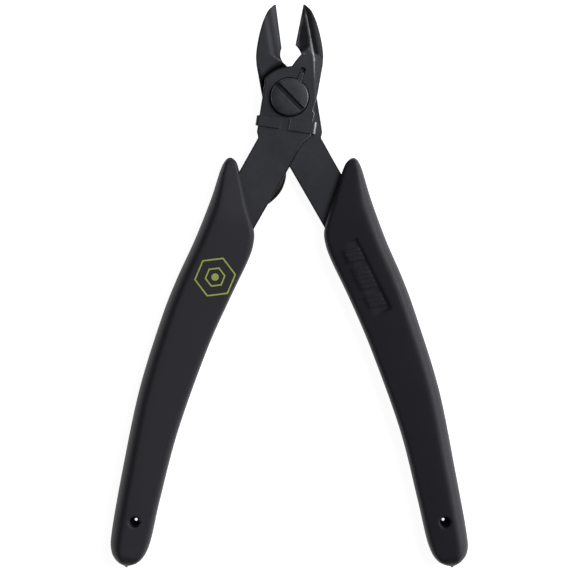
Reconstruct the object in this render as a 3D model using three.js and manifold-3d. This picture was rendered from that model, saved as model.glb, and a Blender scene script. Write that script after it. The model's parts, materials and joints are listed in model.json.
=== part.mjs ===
// A flush cutter of the stacked-blade kind, 127 mm long when shut, lying flat with its jaws towards +Y.
// Both halves are drawn in one "half frame": jaws shut, pivot axis on the origin, cutting line on x = 0,
// the half's own blade on the +Z side of the seam z = 0. The back half is the same drawing turned over
// about Y. Each half is then swung outwards by half of the opening angle.
import * as THREE from 'three';
import { mergeVertices } from 'three/addons/utils/BufferGeometryUtils.js';
import Module from 'manifold-3d';

const wasm = await Module();
wasm.setup();

// ---- Driving dimensions, millimetres and degrees ----
const OPEN_ANGLE = 17.8;        // swing between the jaws shut and the jaws open
const PLATE = 2.4;              // thickness of each blade
const SEAM = 0.05;              // each blade's inner face stands this far from the seam
const TOP = SEAM + PLATE;       // outer face of a blade
const SIDE = 5.9;               // half width of the blade beside the pivot
const BOSS_R = 6.7;             // round shoulder of the blade about the pivot
const TIP_Y = 20.55;            // point of the jaws
const EDGE_LAND = 0.35;         // thickness left at the cutting edge

const BORE_R = 2.7;             // hole through both blades
const SLEEVE_R = 2.6, SLEEVE_BORE_R = 2.05;
const SHANK_R = 1.9;
const HEAD_R = 4.1, HEAD_H = 1.3, HEAD_CHAMFER = 0.25;
const SLOT_W = 0.95, SLOT_DEPTH = 0.7;
const SLOT_ANGLE = -45.7 + OPEN_ANGLE / 2;
const WASHER_R = 3.7, WASHER_T = 0.4;
const DISC_R = 3.9, DISC_T = 0.4;
const NUT_FLATS = 7, NUT_H = 1.7, NUT_CHAMFER = 0.3;
const STACK_GAP = 0.1;          // air between stacked pieces

const KEY_ANGLE = 19 - OPEN_ANGLE / 2;   // lock tab's lean from +Y towards +X
const KEY_END = new THREE.Vector2(1.95, 6.33);
const KEY_W = 1.15, KEY_DEPTH = 0.55, KEY_LENGTH = 3.4, KEY_EYE_R = 0.45;
const TAB_W = 0.9, TAB_SHORT = 0.6;      // lock tab's width, and how far it stops short of the groove's end

const STRIP = 0.4;              // sheet thickness of the spring clip
const STRAP_LOW = -7.2, STRAP_HIGH = -4.6;
const STRAP_LEFT = -6.45, STRAP_RIGHT = 6.75;
const EAR_LEFT_END = -1.0, EAR_RIGHT_END = 0.85;
const CHANNEL_DEPTH = 0.6, CHANNEL_PLAY = 0.15;

const LEAF_T = 0.5, LEAF_HIGH = -0.4, LEAF_LOW = -4.2;
const RIVET_R = 0.55;

const GRIP_H = 5.5;             // half thickness of a grip
const GRIP_PLAY = 0.3;          // room around the tang inside the grip
const CORD_HOLE = [-19.1, -96.8], CORD_HOLE_R = 1.2;
const CORD_WAIST = [-18.9, -96.4], CORD_WAIST_R = 0.45;   // the hole's narrowest section, half way through
const PANEL = { x: -9.9, y: -41.5, length: 17.2, width: 4.8, depth: 0.4, lean: 17 };

const ROUND_STEPS = 48;

// ---- Materials ----
const steel = (color) => new THREE.MeshStandardMaterial({ color, roughness: 0.45, metalness: 0.8 });
const blackSteel = () => steel(0x333438);
const springSteel = () => steel(0x6a6a66);
const gripRubber = () => new THREE.MeshStandardMaterial({ color: 0x2b2b30, roughness: 0.75, metalness: 0 });

// ---- Solids ----
function solid(geometry) {
  const bare = geometry.clone();
  bare.deleteAttribute('normal');
  bare.deleteAttribute('uv');
  const merged = mergeVertices(bare, 1e-4);
  return new wasm.Manifold(new wasm.Mesh({
    numProp: 3,
    vertProperties: new Float32Array(merged.attributes.position.array),
    triVerts: new Uint32Array(merged.index.array),
  }));
}

function geometryOf(body) {
  const mesh = body.getMesh();
  const geometry = new THREE.BufferGeometry();
  geometry.setAttribute('position', new THREE.BufferAttribute(new Float32Array(mesh.vertProperties), 3));
  geometry.setIndex(new THREE.BufferAttribute(new Uint32Array(mesh.triVerts), 1));
  geometry.computeVertexNormals();
  return geometry;
}

function named(name, body, material) {
  const mesh = new THREE.Mesh(geometryOf(body), material);
  mesh.name = name;
  return mesh;
}

// A flat sheet of the given outline between two heights.
function slab(points, low, high) {
  const shape = new THREE.Shape(points.map((p) => new THREE.Vector2(p[0] ?? p.x, p[1] ?? p.y)));
  const geometry = new THREE.ExtrudeGeometry(shape, { depth: high - low, bevelEnabled: false });
  return solid(geometry.translate(0, 0, low));
}

const rectangle = (x0, y0, x1, y1) => [[x0, y0], [x1, y0], [x1, y1], [x0, y1]];

// A round piece about the pivot axis, from a profile of [radius, height] points that starts and ends
// on the axis, or closes on itself for a ring.
function turned(profile, steps = ROUND_STEPS) {
  const lathe = new THREE.LatheGeometry(profile.map(([r, z]) => new THREE.Vector2(r, z)), steps);
  return solid(lathe.rotateX(Math.PI / 2));
}

const disc = (radius, low, high, steps) =>
  turned([[0, low], [radius, low], [radius, high], [0, high]], steps);

const ring = (outer, inner, low, high) =>
  turned([[inner, low], [outer, low], [outer, high], [inner, high], [inner, low]]);

function smooth(points, count) {
  const curve = new THREE.SplineCurve(points.map(([x, y]) => new THREE.Vector2(x, y)));
  return curve.getSpacedPoints(count).map((p) => [p.x, p.y]);
}

function arc(cx, cy, r, fromDegrees, toDegrees, steps) {
  return Array.from({ length: steps + 1 }, (_, i) => {
    const a = THREE.MathUtils.degToRad(fromDegrees + (toDegrees - fromDegrees) * (i / steps));
    return [cx + r * Math.cos(a), cy + r * Math.sin(a)];
  });
}

// The outline moved outwards by d, for outlines that run anticlockwise.
function grown(points, d) {
  const n = points.length;
  return points.map(([x, y], i) => {
    const [px, py] = points[(i + n - 1) % n];
    const [qx, qy] = points[(i + 1) % n];
    const length = Math.hypot(qx - px, qy - py);
    return [x + (d * (qy - py)) / length, y - (d * (qx - px)) / length];
  });
}

// ---- Blades ----
// The front jaw has a deep wire notch behind its cutting edge, the back jaw a shallow one.
// The edges pass each other by a little as the jaws shut.
const FRONT_NOTCH = [[-0.5, 11.45], [0.38, 10.65], [1.0, 9.9], [0.55, 8.85], [0.0, 7.9]];
const BACK_NOTCH = [[0.08, 10.8], [0.42, 10.2], [0.56, 8.9], [0.28, 7.9]];
const GAP_MOUTH = [-0.55, 6.85];
const POINT_X = -0.17;

// The tang runs from the blade into the grip and follows the grip's bend.
const tangInside = () => smooth([
  [2.68, -14.1], [-3.05, -29], [-5.15, -35], [-8.9, -45], [-12.9, -60], [-16.2, -77],
], 22);
const tangOutside = () => smooth([[-20.4, -77], [-18.9, -57], [-16.4, -42.5], [-13.3, -31.1]], 14);
const TANG_ROOT = [-5.45, -9.9];
const TANG_END = { x: -18.3, y: -77, r: 2.1 };
const tangEnd = () => arc(TANG_END.x, TANG_END.y, TANG_END.r, -180, 0, 8).slice(1, -1);

function tangOutline() {
  const [rootX] = TANG_ROOT;
  return [
    ...tangEnd(), ...tangInside().reverse(), [2.68, -6], [rootX, -6], TANG_ROOT, ...tangOutside().reverse(),
  ];
}

function bladeOutline(notch) {
  const shoulder = arc(0, 0, BOSS_R, 104, 152, 10);
  const waist = [[-SIDE, 2.2], [-SIDE, -8.6], [-5.52, -9.5], TANG_ROOT];
  const heel = [[3.75, -11.2], [4.46, -9.65], [5.7, -8.13], [SIDE, -7.5]];
  const nick = [[5.8, -4.1], [5.93, -2.8], [5.5, -2.35], [5.5, -1.87], [5.66, -0.6], [5.92, 1.2]];
  const jawBack = smooth([
    [6.06, 8], [5.78, 10.5], [4.72, 13.9], [3.26, 17.2], [1.8, 19.4], [0.35, TIP_Y],
  ], 16);
  return [
    [POINT_X, TIP_Y], ...notch, GAP_MOUTH, ...shoulder, ...waist,
    ...tangOutside().reverse(), ...tangEnd(), ...tangInside().reverse(),
    ...heel, ...nick, ...jawBack,
  ];
}

// A cutter that clears everything above the plane z = height(x, y) over the given outline.
function groundAway(outline, height) {
  const n = outline.length;
  const sky = 9;
  const position = [];
  outline.forEach(([x, y]) => position.push(x, y, height(x, y)));
  outline.forEach(([x, y]) => position.push(x, y, sky));
  const index = [];
  for (let i = 0; i < n; i++) {
    const j = (i + 1) % n;
    index.push(i, j, n + j, i, n + j, n + i);
    if (i > 0 && i < n - 1) index.push(0, i + 1, i, n, n + i, n + i + 1);
  }
  const geometry = new THREE.BufferGeometry();
  geometry.setAttribute('position', new THREE.Float32BufferAttribute(position, 3));
  geometry.setIndex(index);
  return solid(geometry);
}

// Two ground faces meet on a ridge that runs down from the point of the jaw, and a narrow one fades
// out along the jaw's back beside the pivot.
const RIDGE_LOW = [4.0, 8.8], RIDGE_END = [5.75, -0.7];
const RIDGE_POINT = { x: 0.94, y: 17.5, z: 0.99 };
const INNER_SLOPE = 0.477, OUTER_FALL = 0.2508, POINT_FALL = 0.256, SIDE_FALL = 0.2, SIDE_LEAN = 0.184;
const CUTTING_EDGE_X = -0.3;
const innerFace = (x) => SEAM + EDGE_LAND + INNER_SLOPE * (x - CUTTING_EDGE_X);
const outerFace = (x, y) =>
  RIDGE_POINT.z - OUTER_FALL * (x - RIDGE_POINT.x) - POINT_FALL * (y - RIDGE_POINT.y);
const sideFace = (x, y) => TOP - SIDE_FALL * (x - RIDGE_LOW[0] + SIDE_LEAN * (y - RIDGE_LOW[1]));

function blade(notch) {
  let body = slab(bladeOutline(notch), SEAM, TOP);
  body = body.subtract(
    groundAway([[-3, 9.4], [1.4, 9.4], RIDGE_LOW, [0, 20.2], [0, 22], [-3, 22]], innerFace),
  );
  body = body.subtract(groundAway([RIDGE_LOW, [8, 8.0], [8, 22], [0, 22], [0, 20.2]], outerFace));
  body = body.subtract(groundAway([RIDGE_END, [8, RIDGE_END[1]], [8, 9], RIDGE_LOW], sideFace));
  return body.subtract(disc(BORE_R, -1, TOP + 1));
}

// The tongue of the spring clip lies in a recess down the back of the front tang.
const TONGUE = [[-5.1, -7], [-5.15, -9.8], [-6.4, -13.2], [-5.3, -13.6], [-4.2, -10.4], [-3.4, -7]];

function keyBar(width, length, low, high) {
  const lean = -THREE.MathUtils.degToRad(KEY_ANGLE);
  const bar = new THREE.BoxGeometry(width, length, high - low);
  bar.translate(0, -length / 2, (low + high) / 2).rotateZ(lean).translate(KEY_END.x, KEY_END.y, 0);
  return solid(bar);
}

function frontBlade() {
  let body = blade(FRONT_NOTCH);
  body = body.subtract(keyBar(KEY_W, KEY_LENGTH, TOP - KEY_DEPTH, TOP + 1));
  const eye = new THREE.CylinderGeometry(KEY_EYE_R, KEY_EYE_R, 2, 16).rotateX(Math.PI / 2);
  body = body.subtract(solid(eye.translate(KEY_END.x, KEY_END.y, TOP)));
  const strap = rectangle(-9, STRAP_LOW - CHANNEL_PLAY, 9, STRAP_HIGH + CHANNEL_PLAY);
  body = body.subtract(slab(strap, -1, SEAM + CHANNEL_DEPTH));
  return body.subtract(slab(grown(TONGUE, 2 * CHANNEL_PLAY), -1, SEAM + CHANNEL_DEPTH));
}

// ---- Pivot ----
const washerLow = TOP + STACK_GAP;
const headLow = washerLow + WASHER_T + STACK_GAP;
const headHigh = headLow + HEAD_H;
const discHigh = -TOP - STACK_GAP;
const nutHigh = discHigh - DISC_T - 2 * STACK_GAP;
const nutLow = nutHigh - NUT_H;

function pivotScrew() {
  const body = turned([
    [0, nutLow], [SHANK_R - 0.25, nutLow], [SHANK_R, nutLow + 0.25], [SHANK_R, headLow],
    [HEAD_R, headLow], [HEAD_R, headHigh - HEAD_CHAMFER], [HEAD_R - HEAD_CHAMFER, headHigh], [0, headHigh],
  ]);
  const slot = new THREE.BoxGeometry(3 * HEAD_R, SLOT_W, 2 * SLOT_DEPTH);
  slot.rotateZ(THREE.MathUtils.degToRad(SLOT_ANGLE)).translate(0, 0, headHigh);
  return body.subtract(solid(slot));
}

// A ring under the screw head, with a tab that steps down into the blade's groove beyond the head.
function lockWasher() {
  const body = ring(WASHER_R, SHANK_R + STACK_GAP, washerLow, washerLow + WASHER_T);
  const lean = THREE.MathUtils.degToRad(KEY_ANGLE);
  const reach = KEY_LENGTH - 1.5 * TAB_SHORT, openLength = 2.2, openLow = TOP - 0.05, sky = TOP + 2;
  const tab = keyBar(TAB_W, reach, TOP - KEY_DEPTH + STACK_GAP, washerLow + WASHER_T)
    .translate([-TAB_SHORT * Math.sin(lean), -TAB_SHORT * Math.cos(lean), 0]);
  const beyondHead = keyBar(KEY_W, openLength, openLow, sky);
  return body.add(tab).subtract(beyondHead).subtract(disc(SHANK_R + STACK_GAP, -1, sky));
}

const pivotSleeve = () => ring(SLEEVE_R, SLEEVE_BORE_R, -TOP + 0.05, TOP - 0.05);

// A dished disc spring, standing 0.1 mm higher at its inner rim.
function discSpring() {
  const inner = SHANK_R + STACK_GAP;
  const dish = 0.1;
  return turned([
    [inner, discHigh - DISC_T - dish], [DISC_R, discHigh - DISC_T], [DISC_R, discHigh],
    [inner, discHigh - dish], [inner, discHigh - DISC_T - dish],
  ]);
}

function pivotNut() {
  const corner = NUT_FLATS / 2 / Math.cos(Math.PI / 6);
  const hexagon = arc(0, 0, corner, 0, 300, 5);
  const rim = NUT_FLATS / 2;
  const chamfered = turned([
    [0, nutLow], [rim - 0.1, nutLow], [corner + 0.1, nutLow + NUT_CHAMFER],
    [corner + 0.1, nutHigh], [0, nutHigh],
  ]);
  return slab(hexagon, nutLow, nutHigh)
    .intersect(chamfered)
    .subtract(disc(SHANK_R + STACK_GAP, nutLow - 1, 0));
}

// ---- Spring ----
// A strap folded round the front blade, two ears on its face, and a tongue with a turned-down tab.
const TAB = [[-6.1, -13.2], [-5.7, -13.3], [-4.85, -10.2], [-5.25, -10.1]];

function springClip() {
  const earLow = TOP + STACK_GAP;
  const earHigh = earLow + STRIP;
  const low = SEAM + STACK_GAP;
  const parts = [
    slab(rectangle(STRAP_LEFT, STRAP_LOW, STRAP_RIGHT, STRAP_HIGH), low, low + STRIP),
    slab(rectangle(STRAP_LEFT, STRAP_LOW, STRAP_LEFT + STRIP, STRAP_HIGH), low, earHigh),
    slab(rectangle(STRAP_RIGHT - STRIP, STRAP_LOW, STRAP_RIGHT, STRAP_HIGH), low, earHigh),
    slab(rectangle(STRAP_LEFT, STRAP_LOW, EAR_LEFT_END, STRAP_HIGH), earLow, earHigh),
    slab(rectangle(EAR_RIGHT_END, STRAP_LOW, STRAP_RIGHT, STRAP_HIGH), earLow, earHigh),
    slab(TONGUE, low, low + STRIP),
    slab(TAB, LEAF_LOW, low + STRIP),
  ];
  return parts.reduce((whole, part) => whole.add(part)).subtract(rivetHole(RIVET_R + STACK_GAP));
}

// The leaf starts beside the clip's tab, runs down behind the tang, turns in a loop that shows between
// the tangs, and ends against the edge of the back blade.
const LEAF_PATH = [
  [-4.5, -10.2], [-5.35, -13.4], [-6.0, -17], [-5.75, -20.3], [-4.9, -22.5], [-3.4, -23.8], [-1.7, -23.9],
  [-0.25, -22.6], [1.05, -20.6], [1.62, -18.3], [1.55, -16.2], [1.1, -14.6], [0.1, -13.1],
];

function returnSpring() {
  const curve = new THREE.SplineCurve(LEAF_PATH.map(([x, y]) => new THREE.Vector2(x, y)));
  const count = 60;
  const sides = [[], []];
  for (let i = 0; i <= count; i++) {
    const p = curve.getPointAt(i / count);
    const t = curve.getTangentAt(i / count);
    sides[0].push([p.x + (t.y * LEAF_T) / 2, p.y - (t.x * LEAF_T) / 2]);
    sides[1].unshift([p.x - (t.y * LEAF_T) / 2, p.y + (t.x * LEAF_T) / 2]);
  }
  return slab([...sides[0], ...sides[1]], LEAF_LOW, LEAF_HIGH).subtract(rivetHole(RIVET_R + STACK_GAP));
}

// The rivet that holds the leaf to the clip's tab crosses both at right angles.
const RIVET_AT = new THREE.Vector3(-5.2, -11.8, (LEAF_LOW + LEAF_HIGH) / 2);
const RIVET_LEAN = THREE.MathUtils.degToRad(164.2);   // its axis, square to the tab
const RIVET_HEAD_R = 0.95, RIVET_HEAD_T = 0.35, RIVET_REACH = 0.55;

function placedRivet(geometry) {
  geometry.rotateZ(RIVET_LEAN - Math.PI / 2);
  return solid(geometry.translate(RIVET_AT.x, RIVET_AT.y, RIVET_AT.z));
}

const rivetHole = (radius) => placedRivet(new THREE.CylinderGeometry(radius, radius, 3, 16));

function springRivet() {
  const under = RIVET_REACH, rim = RIVET_REACH + 0.1, crown = RIVET_REACH + RIVET_HEAD_T;
  const head = [
    [RIVET_R, under], [RIVET_HEAD_R, under], [RIVET_HEAD_R, rim], [RIVET_HEAD_R * 0.7, crown], [0, crown],
  ];
  const foot = head.map(([r, y]) => [r, -y]).reverse();
  const profile = [...foot, ...head].map(([r, y]) => new THREE.Vector2(r, y));
  return placedRivet(new THREE.LatheGeometry(profile, 16));
}

// ---- Grips ----
// A grip's two side lines run from the horn beside the tang to the round end.
const LEFT_OUTER = [
  [-10.6, -14.9], [-11.6, -15.5], [-12.5, -18], [-13.6, -24.8], [-15.7, -34], [-18.3, -43.2], [-20.3, -52.4],
  [-22.6, -68.3], [-23.5, -86], [-23.75, -99.4], [-23.2, -103.8], [-21.55, -105.95], [-19.4, -106.75],
];
const LEFT_INNER = [
  [-10.6, -14.9], [-9.35, -15.7], [-8.4, -17.6], [-5.9, -23.6], [-3.45, -29.2], [-2.85, -32.2], [-3.4, -36.4],
  [-6.2, -45.8], [-9.3, -57.3], [-12.8, -75.6], [-14.4, -91.3], [-15.1, -101], [-16.6, -105.05],
  [-19.4, -106.75],
];
// The right grip's horn stands further out from its tang, and its lower part lies a little nearer in.
const RIGHT_OUTER = [
  [-11.45, -15.1], [-12.45, -15.7], [-13.2, -18], [-14.15, -24.8], [-15.97, -34], [-18.35, -43.2],
  [-20.12, -52.4], [-22.4, -68.3], [-23.15, -86], [-23.5, -99.4], [-23.1, -103.8], [-21.4, -105.95],
  [-19.2, -106.75],
];
const RIGHT_INNER = [
  [-11.45, -15.1], [-10.1, -15.9], [-8.95, -17.6], [-5.85, -23.6], [-3.2, -29.2], [-2.73, -32.2],
  [-3.42, -36.4], [-6.2, -45.8], [-9.1, -57.3], [-12.6, -75.6], [-14.04, -91.3], [-14.8, -101],
  [-16.3, -105.05], [-19.2, -106.75],
];
const GRIP_STATIONS = 44, GRIP_SIDES = 24;
const HORN_H = 3.7, HORN_GROWS = 16, HORN_ROUND = 1.8, END_ROUND = 4.5;
const STATIONS_GATHER = 0.9;    // 0 spaces the stations evenly, 1 gathers them at the two ends
const SQUARENESS = 3, FLAT_SHARE = 0.93;

function gripBody(outerPoints, innerPoints) {
  const sideLine = (points) => new THREE.SplineCurve(points.map(([x, y]) => new THREE.Vector2(x, y)));
  const outer = sideLine(outerPoints), inner = sideLine(innerPoints);
  const length = outer.getLength();
  const round = (distance, radius) => {
    const short = 1 - Math.min(distance / radius, 1);
    return Math.sqrt(1 - short * short);
  };
  const power = (v) => Math.sign(v) * Math.pow(Math.abs(v), 2 / SQUARENESS);
  const rows = [];
  for (let i = 1; i < GRIP_STATIONS; i++) {
    const even = i / GRIP_STATIONS;
    const u = even - (STATIONS_GATHER * Math.sin(2 * Math.PI * even)) / (2 * Math.PI);
    const a = outer.getPointAt(u), b = inner.getPointAt(u);
    const grow = THREE.MathUtils.smoothstep(u * length, 0, HORN_GROWS);
    const full = HORN_H + (GRIP_H - HORN_H) * grow;
    const h = full * round(u * length, HORN_ROUND) * round((1 - u) * length, END_ROUND);
    rows.push(Array.from({ length: GRIP_SIDES }, (_, k) => {
      const angle = (2 * Math.PI * (k + 0.5)) / GRIP_SIDES;
      const across = power(Math.cos(angle));
      const rise = THREE.MathUtils.clamp(power(Math.sin(angle)) / FLAT_SHARE, -1, 1);
      return [
        (a.x + b.x) / 2 + ((b.x - a.x) / 2) * across, (a.y + b.y) / 2 + ((b.y - a.y) / 2) * across, h * rise,
      ];
    }));
  }
  const first = outer.getPointAt(0), last = outer.getPointAt(1);
  const position = [first.x, first.y, 0, ...rows.flat(2), last.x, last.y, 0];
  const at = (row, k) => 1 + row * GRIP_SIDES + (k % GRIP_SIDES);
  const end = 1 + rows.length * GRIP_SIDES;
  const index = [];
  for (let k = 0; k < GRIP_SIDES; k++) {
    index.push(0, at(0, k + 1), at(0, k));
    for (let row = 0; row + 1 < rows.length; row++) {
      index.push(at(row, k), at(row + 1, k + 1), at(row + 1, k));
      index.push(at(row, k), at(row, k + 1), at(row + 1, k + 1));
    }
    index.push(end, at(rows.length - 1, k), at(rows.length - 1, k + 1));
  }
  const geometry = new THREE.BufferGeometry();
  geometry.setAttribute('position', new THREE.Float32BufferAttribute(position, 3));
  geometry.setIndex(index);
  return solid(geometry);
}

// Two cones that meet at the waist, which lies a little to one side of the rims.
function cordHole() {
  const rim = ([x, y], r, z) => arc(x, y, r, 0, 345, 23).map(([px, py]) => [px, py, z]);
  const [upper, lower] = [GRIP_H, -GRIP_H].map((z) =>
    wasm.Manifold.hull([...rim(CORD_WAIST, CORD_WAIST_R, 0), ...rim(CORD_HOLE, CORD_HOLE_R, z)]));
  return upper.add(lower);
}

function grip(outerPoints, innerPoints) {
  const pocket = slab(grown(tangOutline(), GRIP_PLAY), SEAM - GRIP_PLAY, TOP + GRIP_PLAY);
  const panel = new THREE.BoxGeometry(PANEL.width, PANEL.length, 2 * PANEL.depth);
  panel.rotateZ(-THREE.MathUtils.degToRad(PANEL.lean)).translate(PANEL.x, PANEL.y, -GRIP_H);
  return gripBody(outerPoints, innerPoints)
    .subtract(pocket)
    .subtract(cordHole())
    .subtract(solid(panel));
}

// ---- Assembly ----
const frontHalf = new THREE.Group();
frontHalf.add(
  named('front_blade', frontBlade(), blackSteel()),
  named('left_grip', grip(LEFT_OUTER, LEFT_INNER), gripRubber()),
  named('pivot_screw', pivotScrew(), blackSteel()),
  named('lock_washer', lockWasher(), blackSteel()),
  named('pivot_sleeve', pivotSleeve(), springSteel()),
  named('disc_spring', discSpring(), springSteel()),
  named('pivot_nut', pivotNut(), blackSteel()),
  named('spring_clip', springClip(), blackSteel()),
  named('return_spring', returnSpring(), springSteel()),
  named('spring_rivet', springRivet(), springSteel()),
);
frontHalf.rotation.z = -THREE.MathUtils.degToRad(OPEN_ANGLE / 2);

const backHalf = new THREE.Group();
backHalf.add(
  named('back_blade', blade(BACK_NOTCH), blackSteel()),
  named('right_grip', grip(RIGHT_OUTER, RIGHT_INNER), gripRubber()),
);
backHalf.rotation.y = Math.PI;
const backSwing = new THREE.Group();
backSwing.add(backHalf);
backSwing.rotation.z = THREE.MathUtils.degToRad(OPEN_ANGLE / 2);

// The origin is the middle of the tool's box, on the surface that it lies on.
const tool = new THREE.Group();
tool.add(frontHalf, backSwing);
tool.updateMatrixWorld(true);
const box = new THREE.Box3().setFromObject(tool, true);
const middle = box.getCenter(new THREE.Vector3());
tool.position.set(-middle.x, -middle.y, -box.min.z);
const part = new THREE.Group();
part.add(tool);
part.updateMatrixWorld(true);

export default part;
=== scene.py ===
"""Looks for the flush cutter. Shapes are drawn in millimetres in the CAD's half frame (jaws shut, pivot on
the origin, cutting line on x = 0, the half's own blade on +Z), then placed on the frame's pivot. The back
half is the same drawing turned over, and each half is swung out by half of the joint's range."""
import json
import math

import bmesh
import bpy
import numpy as np
from mathutils import Matrix, Vector
from mathutils.bvhtree import BVHTree
from mathutils.geometry import delaunay_2d_cdt


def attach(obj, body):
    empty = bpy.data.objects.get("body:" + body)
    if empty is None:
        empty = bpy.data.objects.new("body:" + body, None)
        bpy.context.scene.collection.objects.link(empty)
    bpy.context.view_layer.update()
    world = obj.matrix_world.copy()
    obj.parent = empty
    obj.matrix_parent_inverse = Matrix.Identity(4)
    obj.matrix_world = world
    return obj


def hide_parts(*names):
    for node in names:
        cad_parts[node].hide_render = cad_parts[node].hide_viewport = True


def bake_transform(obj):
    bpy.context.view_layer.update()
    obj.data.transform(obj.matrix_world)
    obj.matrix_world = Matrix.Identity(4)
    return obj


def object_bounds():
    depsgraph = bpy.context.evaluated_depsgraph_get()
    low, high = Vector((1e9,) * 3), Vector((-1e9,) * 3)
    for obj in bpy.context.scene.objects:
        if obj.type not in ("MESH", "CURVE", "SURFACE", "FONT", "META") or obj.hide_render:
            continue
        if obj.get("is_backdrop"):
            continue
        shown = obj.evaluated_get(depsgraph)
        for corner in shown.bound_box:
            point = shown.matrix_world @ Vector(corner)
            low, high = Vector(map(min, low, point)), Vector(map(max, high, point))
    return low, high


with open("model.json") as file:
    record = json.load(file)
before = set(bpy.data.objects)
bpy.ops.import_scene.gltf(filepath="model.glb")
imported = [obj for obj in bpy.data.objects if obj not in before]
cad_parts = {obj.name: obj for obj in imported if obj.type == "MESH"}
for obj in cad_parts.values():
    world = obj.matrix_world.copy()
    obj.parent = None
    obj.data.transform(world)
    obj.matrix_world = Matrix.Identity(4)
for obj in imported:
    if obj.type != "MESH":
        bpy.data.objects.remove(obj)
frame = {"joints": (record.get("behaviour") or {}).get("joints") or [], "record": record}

CAD_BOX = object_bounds()

# ---- Frame: where the two halves stand ----
PIVOT_JOINT = frame["joints"][0]
PIVOT = Vector(PIVOT_JOINT["pos_m"])
SWING = math.radians(PIVOT_JOINT["range_deg"][1]) / 2
SCALE = Matrix.Scale(0.001, 4)
FRONT = Matrix.Translation(PIVOT) @ Matrix.Rotation(-SWING, 4, "Z") @ SCALE
BACK = (Matrix.Translation(PIVOT) @ Matrix.Rotation(SWING, 4, "Z")
        @ Matrix.Rotation(math.pi, 4, "Y") @ SCALE)
BODIES = frame["record"]["behaviour"]["bodies"]
BODY_OF = {node: body for body, nodes in BODIES.items() for node in nodes}

# ---- Driving dimensions, millimetres and degrees, as in the CAD ----
PLATE, SEAM = 2.4, 0.05
TOP = SEAM + PLATE
SIDE, BOSS_R, TIP_Y, EDGE_LAND = 5.9, 6.7, 20.55, 0.35
BORE_R, SLEEVE_R, SLEEVE_BORE_R, SHANK_R = 2.7, 2.6, 2.05, 1.9
STACK_GAP = 0.1
WASHER_R, WASHER_LOW, WASHER_T = 3.7, TOP + STACK_GAP, 0.4
HEAD_R, HEAD_H, HEAD_LOW = 4.1, 1.3, WASHER_LOW + WASHER_T + STACK_GAP
HEAD_HIGH = HEAD_LOW + HEAD_H
SLOT_W, SLOT_DEPTH, SLOT_ANGLE = 0.95, 0.7, -45.7 + math.degrees(SWING)
DISC_R, DISC_T, DISC_HIGH = 3.9, 0.4, -TOP - STACK_GAP
NUT_FLATS, NUT_H, NUT_HIGH = 7.0, 1.7, DISC_HIGH - DISC_T - 2 * STACK_GAP
NUT_LOW = NUT_HIGH - NUT_H
KEY_ANGLE, KEY_END = 19 - math.degrees(SWING), (1.95, 6.33)
KEY_W, KEY_DEPTH, KEY_LENGTH, KEY_EYE_R = 1.15, 0.55, 3.4, 0.45
STRIP = 0.4
STRAP_LOW, STRAP_HIGH, STRAP_LEFT, STRAP_RIGHT = -7.2, -4.6, -6.45, 6.75
EAR_LEFT_END, EAR_RIGHT_END = -1.0, 0.85
CHANNEL_DEPTH, CHANNEL_PLAY = 0.6, 0.15
LEAF_T, LEAF_HIGH, LEAF_LOW = 0.5, -0.4, -4.2
RIVET_AT, RIVET_R = (-5.2, -11.8, (LEAF_LOW + LEAF_HIGH) / 2), 0.55
GRIP_H = 5.5
CORD_HOLE, CORD_HOLE_R = (-19.1, -96.8), 1.2
CORD_WAIST, CORD_WAIST_R = (-18.85, -96.25), 0.36
PANEL_AT, PANEL_LENGTH, PANEL_WIDTH, PANEL_DEPTH, PANEL_LEAN = (-9.9, -41.5), 17.2, 4.8, 0.8, 17


# ---- Curves ----
def catmull(points, t):
    """The point at t, 0 to 1, of a Catmull-Rom curve through the points."""
    last = len(points) - 1
    place = min(t * last, last - 1e-9)
    i = int(place)
    w = place - i
    p0, p1, p2, p3 = (np.array(points[min(max(k, 0), last)], float) for k in (i - 1, i, i + 1, i + 2))
    v0, v1 = (p2 - p0) / 2, (p3 - p1) / 2
    return (2 * p1 - 2 * p2 + v0 + v1) * w ** 3 + (-3 * p1 + 3 * p2 - 2 * v0 - v1) * w ** 2 + v0 * w + p1


class Line:
    """A smooth curve through points, asked by share of its length."""

    def __init__(self, points, steps=800):
        self.dots = np.array([catmull(points, i / steps) for i in range(steps + 1)])
        run = np.linalg.norm(np.diff(self.dots, axis=0), axis=1)
        self.run = np.concatenate([[0], np.cumsum(run)])
        self.length = float(self.run[-1])

    def at(self, share):
        place = share * self.length
        return np.array([np.interp(place, self.run, self.dots[:, k]) for k in range(self.dots.shape[1])])

    def along(self, share, step=0.002):
        ahead = self.at(min(share + step, 1)) - self.at(max(share - step, 0))
        return ahead / np.linalg.norm(ahead)

    def spaced(self, count):
        return [tuple(self.at(i / count)) for i in range(count + 1)]


def smooth(points, count):
    return Line(points).spaced(count)


def arc(cx, cy, r, start, end, steps):
    angles = [math.radians(start + (end - start) * i / steps) for i in range(steps + 1)]
    return [(cx + r * math.cos(a), cy + r * math.sin(a)) for a in angles]


def circle(cx, cy, r, steps=96):
    return arc(cx, cy, r, 0, 360 - 360 / steps, steps - 1)


def closed(loop):
    return [*loop, loop[0]]


def unit(rows):
    return rows / np.linalg.norm(rows, axis=1)[:, None]


def leftward(rows):
    return np.column_stack([-rows[:, 1], rows[:, 0]])


def inset(loop, distance):
    """The loop, anticlockwise, moved inwards by the distance; a negative distance moves it outwards."""
    points = np.array(loop, float)
    before = unit(points - np.roll(points, 1, axis=0))
    after = unit(np.roll(points, -1, axis=0) - points)
    inward = unit(leftward(before + after))
    mitre = np.maximum((inward * leftward(before)).sum(axis=1), 0.5)
    return points + inward * (distance / mitre)[:, None]


def sides_of(loop):
    corners = np.array(loop, float)
    return zip(corners, np.roll(corners, -1, axis=0))


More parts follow.
